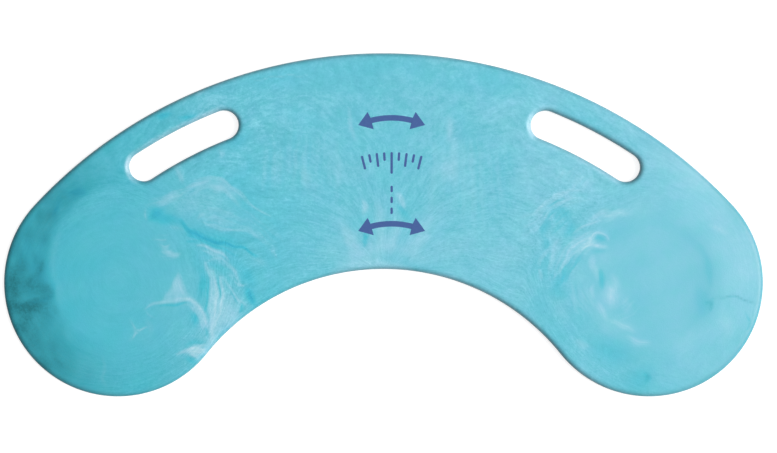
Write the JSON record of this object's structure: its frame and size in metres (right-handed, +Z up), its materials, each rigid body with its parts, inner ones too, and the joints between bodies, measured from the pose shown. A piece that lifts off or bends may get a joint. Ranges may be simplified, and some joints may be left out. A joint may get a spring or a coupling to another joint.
{
  "type": "transfer board",
  "caption": "Crescent-shaped sliding transfer board with two slanted hand slots, thinned round ends and a round rubber non-slip pad under each end.",
  "frame": {"origin": "middle of the board's length and depth, at the height of the surface that its pads stand on", "axes": "+X along the board's length, +Y towards its long convex edge, +Z up out of the sliding face"},
  "size_m": [0.7, 0.3166, 0.011],
  "materials": {
    "marbled_polymer": "satin, moulded, marbled pale blue and teal",
    "pad_rubber": "matt black, ribbed",
    "adhesive_film": "clear film"
  },
  "bodies": {
    "root": {"board": "marbled_polymer", "left_pad": "pad_rubber", "right_pad": "pad_rubber", "left_pad_adhesive": "adhesive_film", "right_pad_adhesive": "adhesive_film"}
  },
  "joints": []
}
